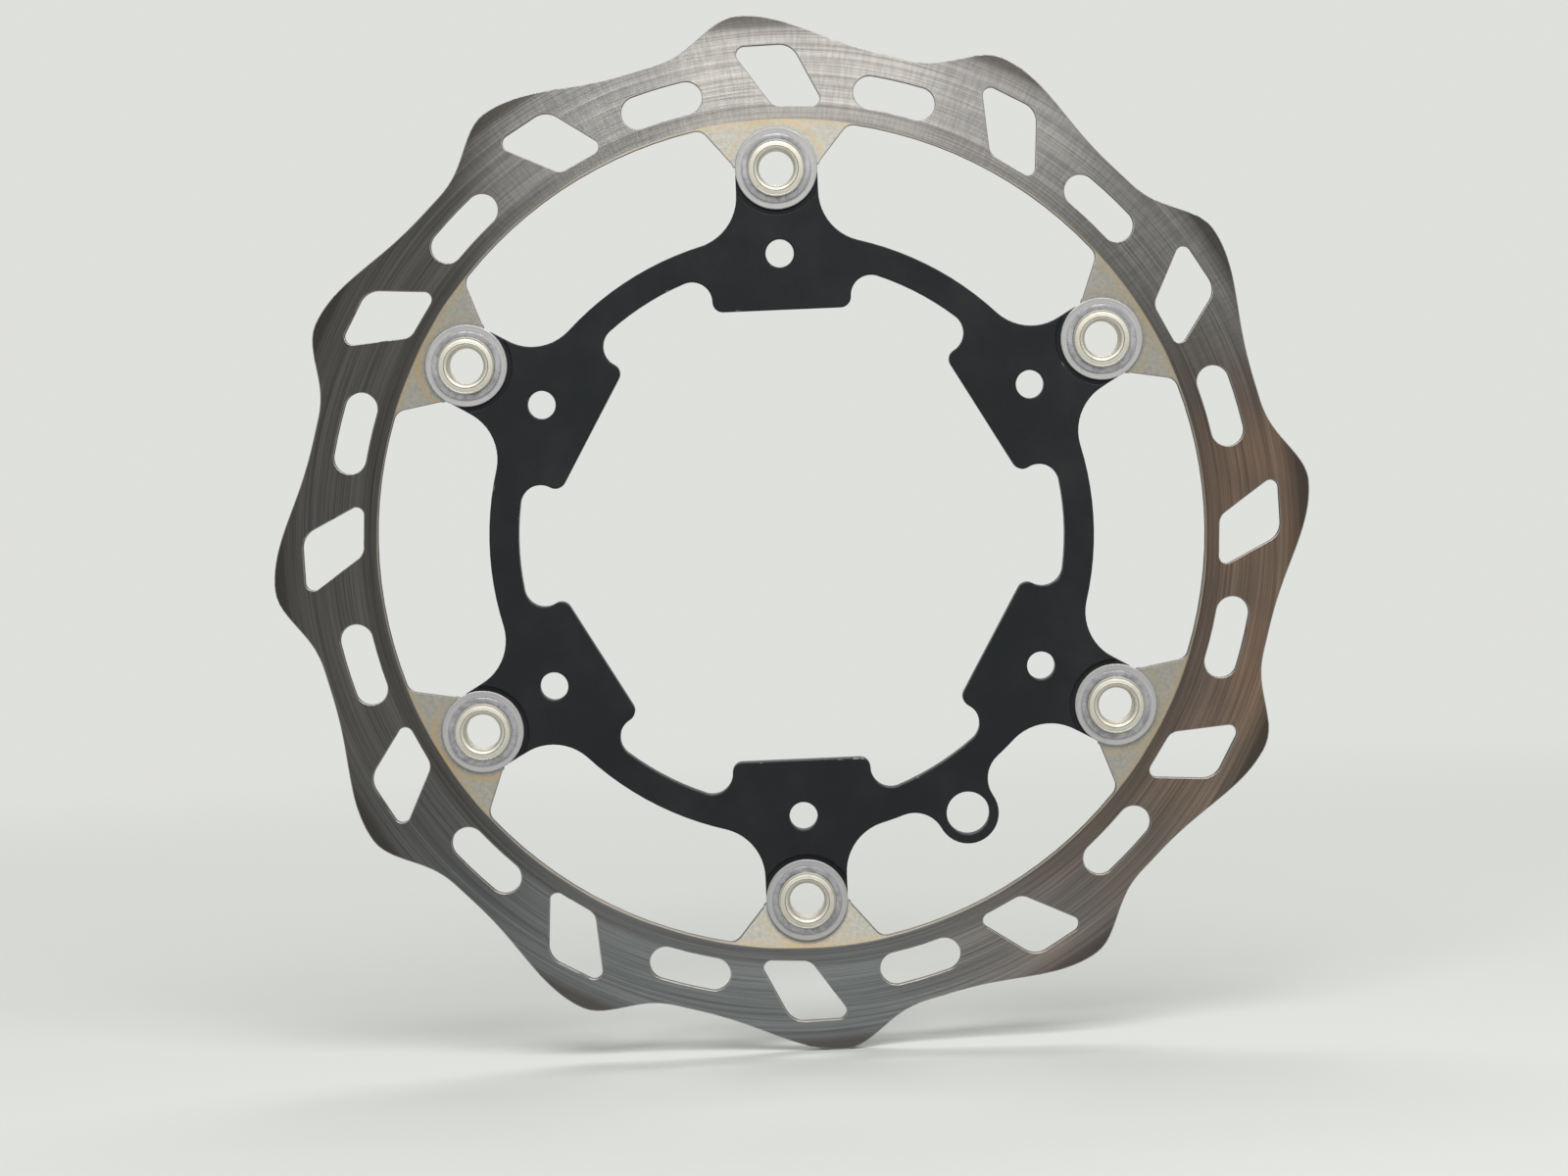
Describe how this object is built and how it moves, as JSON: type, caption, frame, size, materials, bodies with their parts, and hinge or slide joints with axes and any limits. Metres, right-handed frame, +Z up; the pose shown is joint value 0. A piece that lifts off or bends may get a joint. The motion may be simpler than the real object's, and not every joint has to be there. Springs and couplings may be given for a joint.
{
  "type": "brake disc rotor",
  "caption": "Floating wave brake disc: a windowed stainless ring carried by hollow bobbins on a black aluminium spider with a magnet lug.",
  "frame": {"origin": "centre of the hub bolt circle, on the face of the spider that meets the hub", "axes": "+Y along the disc's axis, away from the hub; +Z up through one arm; the disc stands upright"},
  "size_m": [0.2026, 0.006, 0.2026],
  "materials": {
    "ring_steel": "worn by the pads, brushed round the disc, with the tabs left pale",
    "black_anodised": "black anodised, satin",
    "bobbin_steel": "turned, with a pale warm plating",
    "washer_steel": "stamped, satin",
    "spring_steel": "hardened, blue-grey"
  },
  "bodies": {
    "spider": {"carrier": "black_anodised"},
    "ring": {"brake_ring": "ring_steel"},
    "button_1": {"bobbin_1": "bobbin_steel", "flat_washer_1": "washer_steel", "wave_washer_1": "spring_steel"},
    "button_2": {"bobbin_2": "bobbin_steel", "flat_washer_2": "washer_steel", "wave_washer_2": "spring_steel"},
    "button_3": {"bobbin_3": "bobbin_steel", "flat_washer_3": "washer_steel", "wave_washer_3": "spring_steel"},
    "button_4": {"bobbin_4": "bobbin_steel", "flat_washer_4": "washer_steel", "wave_washer_4": "spring_steel"},
    "button_5": {"bobbin_5": "bobbin_steel", "flat_washer_5": "washer_steel", "wave_washer_5": "spring_steel"},
    "button_6": {"bobbin_6": "bobbin_steel", "flat_washer_6": "washer_steel", "wave_washer_6": "spring_steel"}
  },
  "joints": [
    {"name": "ring_float", "type": "slide", "parent": "spider", "child": "ring", "axis": [0, 1, 0], "range_m": [-0.00015, 0.00015]},
    {"name": "button_1_turn", "type": "hinge", "parent": "spider", "child": "button_1", "pos_m": [0, 0.002, 0.0715], "axis": [0, -1, 0], "continuous": true},
    {"name": "button_2_turn", "type": "hinge", "parent": "spider", "child": "button_2", "pos_m": [0.06192, 0.002, 0.03575], "axis": [0, -1, 0], "continuous": true},
    {"name": "button_3_turn", "type": "hinge", "parent": "spider", "child": "button_3", "pos_m": [0.06192, 0.002, -0.03575], "axis": [0, -1, 0], "continuous": true},
    {"name": "button_4_turn", "type": "hinge", "parent": "spider", "child": "button_4", "pos_m": [0, 0.002, -0.0715], "axis": [0, -1, 0], "continuous": true},
    {"name": "button_5_turn", "type": "hinge", "parent": "spider", "child": "button_5", "pos_m": [-0.06192, 0.002, -0.03575], "axis": [0, -1, 0], "continuous": true},
    {"name": "button_6_turn", "type": "hinge", "parent": "spider", "child": "button_6", "pos_m": [-0.06192, 0.002, 0.03575], "axis": [0, -1, 0], "continuous": true}
  ]
}
